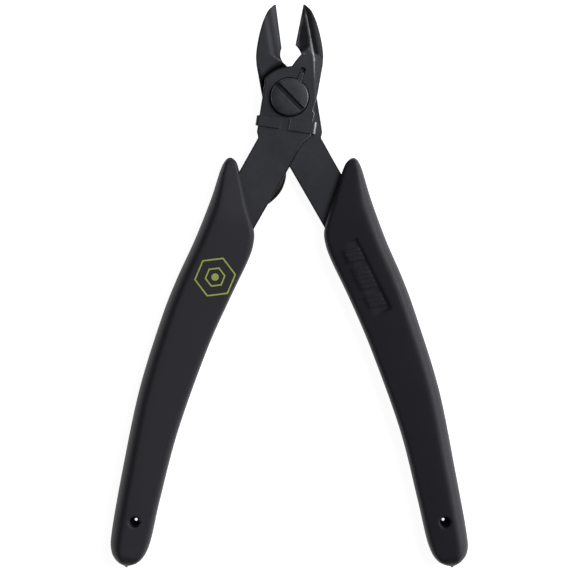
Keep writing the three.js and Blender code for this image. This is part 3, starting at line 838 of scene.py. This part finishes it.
def back_blade():
    verticals = [[(x, 7.5), (x, 20.3)] for x in (LAND_W, BAND_W, BAND_W + BAND_FADE)]
    foot = [[(x, foot_y(x) + d) for x in (0.2, 2.5)] for d in (0, 0.1, 0.2, 0.3)]
    rings = [arc(0, 0, RELIEF_R - d, 60, 175, 60) for d in (0, 0.3, 0.6, 1.0, 1.4, 1.8, 2.2, 2.55)]
    body = relief("blade", blade_outline(BACK_NOTCH), ground_top, flush_face, rim=BLADE_RIM,
                  holes=[circle(0, 0, BORE_R)], creases=[*ridge_creases(), *verticals, *foot, *rings],
                  patches=[JAW_PATCH, SIDE_PATCH], worn_and_lit=ridge_wear_and_highlight, worn_and_lit_low=foot_painted_highlight,
                  ground_and_painted_shade=ground_face_painted_shade, ground_and_painted_shade_low=boss_painted_shadow, rim_worn_and_lit=blade_rim_wear_and_highlight,
                  rim_painted_shade=RIM_PAINTED_SHADE)
    settle(body, "back_blade", BACK, BLADE_BACK)


# ---- Pivot ----
def pivot_screw():
    turn = math.radians(SLOT_ANGLE)
    edges = (-0.03, 0.0, 0.03, 0.1)

    def outside_slot(x, y):
        return np.abs(-x * math.sin(turn) + y * math.cos(turn)) - SLOT_W / 2

    def top(x, y):
        outside = outside_slot(x, y)
        chamfer = 0.08 * np.clip(1 - outside / 0.1, 0, 1) ** 2
        return HEAD_HIGH - np.where(outside < -0.015, SLOT_DEPTH, chamfer)

    def bottom(x, y):
        r = np.hypot(x, y)
        return np.where(r < SHANK_R + 0.005, NUT_LOW + 0.25 * ease(r, SHANK_R - 0.3, SHANK_R), HEAD_LOW)

    along, across = Vector((math.cos(turn), math.sin(turn))) * 6, Vector((-math.sin(turn), math.cos(turn)))
    slot = [[tuple(across * s * (SLOT_W / 2 + e) + along * end) for end in (-1, 1)]
            for s in (-1, 1) for e in edges]
    shank = [closed(circle(0, 0, r, 64)) for r in (SHANK_R - 0.3, SHANK_R, SHANK_R + 0.01)]
    # Painted shade in the slot; the head's rim is worn bright with a painted highlight.
    slot_painted_shade = lambda x, y: (outside_slot(x, y) < 0.05).astype(float)
    body = relief("screw", circle(0, 0, HEAD_R, 144), top, bottom, rim=0.3, creases=[*slot, *shank],
                  ground_and_painted_shade=slot_painted_shade, rim_worn_and_lit=flat(0.45))
    settle(body, "pivot_screw", FRONT, SCREW_STEEL)


def lock_washer():
    half_w = KEY_W / 2 - 0.08
    along, across = Vector(KEY_ALONG), Vector((KEY_ALONG[1], -KEY_ALONG[0]))
    end = Vector(KEY_END) - along * (KEY_EYE_R + half_w + 0.1)

    def meets_ring(side):
        """Where the tab's side, through end + side * across, leaves the ring."""
        start = end + across * side * half_w
        b = start.dot(along)
        back = b - math.sqrt(b * b - start.dot(start) + WASHER_R ** 2)
        return start - along * back

    left, right = meets_ring(-1), meets_ring(1)
    from_angle = math.degrees(math.atan2(left.y, left.x))
    to_angle = math.degrees(math.atan2(right.y, right.x)) + 360
    tab = arc(end.x, end.y, half_w, -KEY_ANGLE, 180 - KEY_ANGLE, 12)
    outline = [*arc(0, 0, WASHER_R, from_angle, to_angle, 90), *tab]
    bent = lambda x, y: KEY_DEPTH * ease(np.hypot(x, y), WASHER_R, WASHER_R + 0.45)
    bends = [arc(0, 0, WASHER_R + d, 40, 110, 24) for d in (0, 0.12, 0.24, 0.36, 0.45)]
    body = relief("washer", outline, lambda x, y: WASHER_LOW + WASHER_T - bent(x, y),
                  lambda x, y: WASHER_LOW - bent(x, y), rim=0.06,
                  holes=[circle(0, 0, SHANK_R + STACK_GAP, 64)], creases=bends)
    settle(body, "lock_washer", FRONT, CLIP_STEEL)


def pivot_sleeve():
    body = relief("sleeve", circle(0, 0, SLEEVE_R), flat(TOP - 0.05), flat(0.05 - TOP), rim=0.08,
                  holes=[circle(0, 0, SLEEVE_BORE_R)])
    settle(body, "pivot_sleeve", FRONT, SPRING_STEEL)


def disc_spring():
    inner = SHANK_R + STACK_GAP
    dish = lambda x, y: 0.1 * np.clip((DISC_R - np.hypot(x, y)) / (DISC_R - inner), 0, 1)
    body = relief("disc", circle(0, 0, DISC_R), lambda x, y: DISC_HIGH - dish(x, y),
                  lambda x, y: DISC_HIGH - DISC_T - dish(x, y), rim=0.1, holes=[circle(0, 0, inner, 64)])
    settle(body, "disc_spring", FRONT, SPRING_STEEL)


def pivot_nut():
    bore = SHANK_R + STACK_GAP
    lead_in_r, chamfer_r = bore + 0.3, NUT_FLATS / 2 - 0.12
    corners = [Vector(p) for p in circle(0, 0, NUT_FLATS / 2 / math.cos(math.pi / 6), 6)]
    sides = zip(corners, corners[1:] + corners[:1])
    outline = [tuple(a.lerp(b, k / 10)) for a, b in sides for k in range(10)]
    chamfer = lambda x, y: 0.58 * np.maximum(np.hypot(x, y) - chamfer_r, 0)
    lead_in = lambda x, y: 0.5 * np.maximum(lead_in_r - np.hypot(x, y), 0)
    rings = [closed(circle(0, 0, r, 72)) for r in (lead_in_r, chamfer_r)]
    body = relief("nut", outline, flat(NUT_HIGH), lambda x, y: NUT_LOW + chamfer(x, y) + lead_in(x, y),
                  rim=0.07, holes=[circle(0, 0, bore, 64)], creases=rings, patches=[(-4, -4, 4, 4, 0.35)])
    settle(body, "pivot_nut", FRONT, SCREW_STEEL)


# ---- Spring and clip ----
TONGUE = [(-5.1, -7), (-5.15, -9.8), (-6.4, -13.2), (-5.3, -13.6), (-4.2, -10.4), (-3.4, -7)]
TONGUE_RECESS = [tuple(p) for p in inset(TONGUE, -2 * CHANNEL_PLAY)]
TAB = [(-6.1, -13.2), (-5.7, -13.3), (-4.85, -10.2), (-5.25, -10.1)]
LEAF_PATH = [
    (-4.5, -10.2), (-5.35, -13.4), (-6.0, -17), (-5.75, -20.3), (-4.9, -22.5), (-3.4, -23.8), (-1.7, -23.9),
    (-0.25, -22.6), (1.05, -20.6), (1.62, -18.3), (1.55, -16.2), (1.1, -14.6), (0.1, -13.1),
]
LEAF_BENT = (-1.5, -9.1)    # a second point on the leaf, given with its start as its bends


def spring_clip():
    """A strap folded round the front blade, with a tongue that turns down into the leaf's tab. Its left side
    is filed narrower."""
    bend, narrowing = 0.45, 0.42
    base = SEAM + STACK_GAP
    low, high = base + STRIP / 2, WASHER_LOW + STRIP / 2
    left, right = STRAP_LEFT + STRIP / 2, STRAP_RIGHT - STRIP / 2
    corner = lambda x, z, start: arc(x, z, bend, start, start + 90, 8)
    path = np.array([(EAR_LEFT_END, high), (EAR_LEFT_END - 0.35, high),
                     *corner(left + bend, high - bend, 90), *corner(left + bend, low + bend, 180),
                     *corner(right - bend, low + bend, 270), *corner(right - bend, high - bend, 0),
                     (EAR_RIGHT_END + 0.5, high), (EAR_RIGHT_END, high)])
    aside = leftward(unit(np.gradient(path, axis=0))) * STRIP / 2
    outline = [*(path - aside).tolist(), *(path + aside)[::-1].tolist()]
    strap = relief("strap", outline, flat(STRAP_HIGH), flat(STRAP_LOW), rim=0.07)

    def stood_up(v):
        filed = (v.z > STRAP_LOW + 1) * (1 - float(ease(v.x, STRAP_LEFT, STRAP_LEFT + 1.5)))
        return Vector((v.x, v.z - narrowing * filed, v.y))

    reshaped(strap, stood_up)
    tongue = relief("tongue", TONGUE, flat(base + STRIP), flat(base), rim=0.06)
    tab = relief("tab", TAB, flat(base + STRIP - 0.02), flat(LEAF_LOW), rim=0.06)
    combined(strap, "UNION", [tongue, tab])
    # Painted highlights on the ears' ends and along the strap's right bend, where light catches them.
    ear_end_highlight = lambda v: 0.45 * (v.z > TOP) * (EAR_LEFT_END - 0.1 < v.x < EAR_RIGHT_END + 0.1)
    raise_wear_and_highlight(strap, 0.3, lambda v: max(float(ease(v.x, right - bend, right)) * (v.z > TOP), ear_end_highlight(v)))
    settle(strap, "spring_clip", FRONT, CLIP_STEEL)


def return_spring():
    """The leaf leans outwards towards the front as it turns round its loop."""
    line, stations, most_lean = Line(LEAF_PATH), 160, 0.5
    middle, half_height = (LEAF_HIGH + LEAF_LOW) / 2, (LEAF_HIGH - LEAF_LOW) / 2
    section = rounded_box_section(LEAF_T / 2, half_height, 0.12)
    rings = []
    for i in range(stations + 1):
        share = i / stations
        at, ahead = line.at(share), line.along(share)
        lean = most_lean * math.sin(math.pi * share) ** 2
        aside = [(u + lean * (v - half_height), middle + v) for u, v in section]
        rings.append([(at[0] + ahead[1] * out, at[1] - ahead[0] * out, z) for out, z in aside])
    body = sweep("leaf", rings)
    bends = [Vector((*LEAF_PATH[0], middle)), Vector((*LEAF_BENT, middle))]
    settle(body, "return_spring", FRONT, LEAF_STEEL_SHADED, bends=bends)


def spring_rivet():
    """A domed rivet along the line that crosses the tab at right angles."""
    head, head_t, reach = 0.95, 0.35, 0.55
    dome = [(reach + head_t * math.sin(a), head * math.cos(a)) for a in np.linspace(0, math.pi / 2, 8)[:-1]]
    profile = [*((-h, r) for h, r in dome[::-1]), (-reach, RIVET_R), (reach, RIVET_R), *dome]
    across_tab = math.atan2(3.35, 0.95) - math.pi
    placed = Matrix.Translation(RIVET_AT) @ Matrix.Rotation(across_tab, 4, "Z")
    body = sweep("rivet", [[placed @ Vector((h, *p)) for p in circle(0, 0, r, 40)] for h, r in profile])
    settle(body, "spring_rivet", FRONT, SPRING_STEEL)


# ---- Grips ----
LEFT_OUTER = [(-10.6, -14.9), (-11.6, -15.5), (-12.5, -18), (-13.6, -24.8), (-15.7, -34), (-18.3, -43.2),
              (-20.3, -52.4), (-22.6, -68.3), (-23.5, -86), (-23.75, -99.4), (-23.2, -103.8),
              (-21.55, -105.95), (-19.4, -106.75)]
LEFT_INNER = [(-10.6, -14.9), (-9.35, -15.7), (-8.4, -17.6), (-5.9, -23.6), (-3.45, -29.2), (-2.85, -32.2),
              (-3.4, -36.4), (-6.2, -45.8), (-9.3, -57.3), (-12.8, -75.6), (-14.4, -91.3), (-15.1, -101),
              (-16.6, -105.05), (-19.4, -106.75)]
RIGHT_OUTER = [(-11.45, -15.1), (-12.45, -15.7), (-13.2, -18), (-14.15, -24.8), (-15.97, -34),
               (-18.35, -43.2), (-20.12, -52.4), (-22.4, -68.3), (-23.15, -86), (-23.5, -99.4),
               (-23.1, -103.8), (-21.4, -105.95), (-19.2, -106.75)]
RIGHT_INNER = [(-11.45, -15.1), (-10.1, -15.9), (-8.95, -17.6), (-5.85, -23.6), (-3.2, -29.2), (-2.73, -32.2),
               (-3.42, -36.4), (-6.2, -45.8), (-9.1, -57.3), (-12.6, -75.6), (-14.04, -91.3), (-14.8, -101),
               (-16.3, -105.05), (-19.2, -106.75)]
HORN_H, HORN_GROWS, HORN_ROUND, END_ROUND = 3.7, 16, 1.8, 4.5
PANEL_FACE, PANEL_SLOPE = -1, 0.04        # the side of the moulding that has the panel, and its floor's slope
RIB_PITCH, RIB_REACH, RIB_SLANT, RIB_W, RIB_H = 1.05, 1.7, 0.35, 0.55, 0.24
RIB_SHOULDER, RIB_ROOT, GROUP_PITCH = 0.12, 1.2, 5.5
NIB_R = 0.3                               # the stub that the mould's gate leaves at the grip's end
POCKET_PLAY = 0.12
VOXEL = 0.24


def grip_half_height(run, length):
    """Half thickness at a distance from the horn's tip, along the outer side."""
    full = HORN_H + (GRIP_H - HORN_H) * float(ease(run, 0, HORN_GROWS))
    rounded = lambda distance, radius: math.sqrt(max(1 - (1 - min(distance / radius, 1)) ** 2, 0))
    return full * rounded(run, HORN_ROUND) * rounded(length - run, END_ROUND)


def grip_section(half_width, height, steps=28):
    """The section's upper half as (across, rise): -half_width is the outer side, which is well rounded. The
    face falls slightly from there to the inner side, where the corner is tighter."""
    round_out, round_in, fall = min(2.6, 0.57 * half_width), min(1.3, 0.3 * half_width), 0.15
    face = 2 * half_width - round_out - round_in
    low_in = height - fall * face
    outer = [(-half_width + round_out * (1 - math.cos(a) ** 0.95), height * math.sin(a) ** 0.9)
             for a in np.linspace(0, math.pi / 2, steps)]
    flat_part = [(-half_width + round_out + face * t, height - fall * face * t ** 1.15)
                 for t in np.linspace(0, 1, 22)[1:-1]]
    inner = [(half_width - round_in * (1 - math.cos(a)), low_in * math.sin(a) ** 0.45)
             for a in np.linspace(math.pi / 2, 0, steps)]
    return outer + flat_part + inner


def grip_blank(sides_of_grip, stations=200):
    outer_line, inner_line = (Line(side) for side in sides_of_grip)
    vertices, faces = [(*outer_line.at(0), 0)], []
    for i in range(1, stations):
        even = i / stations
        u = even - 0.9 * math.sin(2 * math.pi * even) / (2 * math.pi)
        a, b = outer_line.at(u), inner_line.at(u)
        h = grip_half_height(u * outer_line.length, outer_line.length)
        width = np.linalg.norm(b - a)
        upper = grip_section(width / 2, h)
        ring = upper + [(p, -r) for p, r in upper[-2:0:-1]]
        vertices += [(*((a + b) / 2 + (b - a) / width * p), r) for p, r in ring]
        sides = len(ring)
    vertices.append((*outer_line.at(1), 0))
    at = lambda row, k: 1 + row * sides + k % sides
    end = len(vertices) - 1
    for k in range(sides):
        faces.append((0, at(0, k + 1), at(0, k)))
        faces.append((end, at(stations - 2, k), at(stations - 2, k + 1)))
        faces += [(at(r, k), at(r, k + 1), at(r + 1, k + 1), at(r + 1, k)) for r in range(stations - 2)]
    return mesh_object("grip", vertices, faces)


def in_panel(x, y):
    """A place in the panel, x across and y along it, as a place in the half frame."""
    turn = math.radians(PANEL_LEAN)
    return (PANEL_AT[0] + x * math.cos(turn) + y * math.sin(turn),
            PANEL_AT[1] - x * math.sin(turn) + y * math.cos(turn))


def panel_floor(x):
    return GRIP_H - PANEL_DEPTH - PANEL_SLOPE * (x + PANEL_WIDTH / 2)


def panel_recess():
    """A shallow round-cornered recess that follows the slope of the grip's face."""
    corners = rounded_box_section(PANEL_WIDTH / 2, PANEL_LENGTH / 2, 0.4)
    return sweep("recess", [[(*in_panel(x, y), PANEL_FACE * height(x)) for x, y in corners]
                            for height in (panel_floor, lambda x: GRIP_H + 1)])


def panel_ribs():
    """Plain slanted bars across the recess's floor, in three groups, for a thumb to find."""
    bars = []
    for group, count in ((-1, 3), (0, 5), (1, 3)):
        for k in range(count):
            middle = group * GROUP_PITCH + (k - (count - 1) / 2) * RIB_PITCH
            rings = []
            for x, y in ((-RIB_REACH, middle - RIB_SLANT), (RIB_REACH, middle + RIB_SLANT)):
                top = panel_floor(x) + RIB_H
                flank = [(RIB_W / 4, top), (RIB_W / 2, top - RIB_SHOULDER), (RIB_W / 2, top - RIB_ROOT)]
                section = [*((-across, z) for across, z in flank[::-1]), *flank]
                rings.append([(*in_panel(x, y + across), PANEL_FACE * z) for across, z in section])
            bars.append(sweep("bar", rings))
    return bars


def cord_hole():
    """A hole that narrows to its waist half way through, and flares outside the grip's faces."""
    flare, flare_z = 2 * CORD_HOLE_R, 8
    waisted = ((-flare_z, CORD_HOLE, flare), (-GRIP_H, CORD_HOLE, CORD_HOLE_R), (0, CORD_WAIST, CORD_WAIST_R),
               (GRIP_H, CORD_HOLE, CORD_HOLE_R), (flare_z, CORD_HOLE, flare))
    return sweep("hole", [[(*p, z) for p in circle(*at, r, 40)] for z, at, r in waisted])


def grip(node, half, sides_of_grip):
    """A moulding with a pocket for its tang, remeshed so that every edge on it is soft."""
    body = grip_blank(sides_of_grip)
    room = [tuple(p) for p in inset(blade_outline(BACK_NOTCH), -POCKET_PLAY)]
    pocket = plate("pocket", room, SEAM - POCKET_PLAY, TOP + POCKET_PLAY)
    nib = plate("nib", circle(*sides_of_grip[0][-1], NIB_R, 24), -NIB_R, NIB_R)
    combined(body, "DIFFERENCE", [pocket, cord_hole(), panel_recess()])
    combined(body, "UNION", [*panel_ribs(), nib])
    remesh = body.modifiers.new("remesh", "REMESH")
    remesh.mode = "VOXEL"
    remesh.voxel_size = VOXEL
    relax = body.modifiers.new("relax", "SMOOTH")
    relax.factor, relax.iterations = 0.5, 4
    applied(body)
    return settle(body, node, half, RUBBER, sharp=180)


front_blade()
back_blade()
pivot_screw()
lock_washer()
pivot_sleeve()
disc_spring()
pivot_nut()
spring_clip()
return_spring()
spring_rivet()


# ---- Printed mark ----
MARK_AT, MARK_R, MARK_LINE, MARK_T, MARK_TURN = (-9.95, -41.3), 4.6, 0.36, 0.04, 16
DOT_RINGS, DOT_LINE = (0.8, 0.4), 0.39


def printed_mark(grip_piece):
    """Two plain six-sided outlines about a dot, printed on the left grip's face."""
    tree = BVHTree.FromPolygons([v.co for v in grip_piece.data.vertices],
                                [tuple(p.vertices) for p in grip_piece.data.polygons])
    corners = [Vector(p) for p in arc(0, 0, 1, MARK_TURN, 360 + MARK_TURN, 6)]
    border = [a.lerp(b, k / 12) for a, b in zip(corners, corners[1:]) for k in range(12)]
    dot = [Vector(p) for p in circle(0, 0, 1, 48)]
    vertices, faces = [], []

    def printed(p, raised):
        place = FRONT @ Vector((MARK_AT[0] + p.x, MARK_AT[1] + p.y, 20))
        at = tree.ray_cast(place, Vector((0, 0, -1)))[0]
        return tuple(at + Vector((0, 0, 0.001 * (MARK_T if raised else -MARK_T))))

    def ring(loop, outer, inner):
        """A raised band between the loop at two sizes."""
        start, n = len(vertices), len(loop)
        for size, raised in ((outer, False), (outer, True), (inner, True), (inner, False)):
            vertices.extend(printed(p * size, raised) for p in loop)
        for row in range(4):
            near, far = start + row * n, start + (row + 1) % 4 * n
            faces.extend((near + k, near + (k + 1) % n, far + (k + 1) % n, far + k) for k in range(n))

    for size in (MARK_R, MARK_R / 2):
        ring(border, size, size - MARK_LINE)
    for outer in DOT_RINGS:
        ring(dot, outer, outer - DOT_LINE)
    mark = mesh_object("mark", vertices, faces)
    settle(mark, "left_grip", Matrix.Identity(4), INK, extra="left_grip_mark")


left_grip = grip("left_grip", FRONT, (LEFT_OUTER, LEFT_INNER))
grip("right_grip", BACK, (RIGHT_OUTER, RIGHT_INNER))
printed_mark(left_grip)


# ---- Floor, light and camera ----
def floor():
    obj = mesh_object("floor", [(-3, -3, 0), (3, -3, 0), (3, 3, 0), (-3, 3, 0)], [(0, 1, 2, 3)])
    look = Look("pale_floor")
    look.surface(Base_Color=(0.6, 0.6, 0.6), Roughness=0.9, Specular_IOR_Level=0.1,
                 Emission_Color=(1, 1, 1), Emission_Strength=0.92)
    obj.data.materials.append(look.material)
    obj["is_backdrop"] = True


def soft_light(name, place, size, power):
    light = bpy.data.lights.new(name, "AREA")
    light.shape = "RECTANGLE"
    light.size, light.size_y = size
    light.energy = power
    obj = new_object(name, light)
    obj.location = place
    obj.rotation_euler = (-Vector(place)).to_track_quat("-Z", "Y").to_euler()


def camera():
    """Square on to the tool's face, framing 125.9 mm at the middle of its thickness, from 1.1 m."""
    away, field, aside, below = 1.1, 0.1259, 0.00036, 0.04164
    data = bpy.data.cameras.new("camera")
    data.sensor_width = 36
    data.lens = data.sensor_width * away / field
    data.clip_start = 0.01
    obj = new_object("camera", data)
    obj.location = (PIVOT.x - aside, PIVOT.y - below, PIVOT.z + away)
    bpy.context.scene.camera = obj


def studio():
    world = bpy.data.worlds.new("studio")
    world.use_nodes = True
    background = world.node_tree.nodes["Background"].inputs
    background["Color"].default_value = (1, 1, 1, 1)
    background["Strength"].default_value = 0.06
    bpy.context.scene.world = world
    bpy.context.scene.view_settings.view_transform = "Standard"


floor()
soft_light("key", (0.8, 0.22, 0.34), (0.5, 0.4), 7)
soft_light("fill", (-0.8, -0.1, 0.5), (0.6, 0.6), 0.5)
soft_light("overhead", (0.355, 0.205, 0.91), (0.4, 0.4), 2.6)
camera()
studio()

{"cad": [list(corner) for corner in CAD_BOX], "visual": [list(c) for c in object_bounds()]}
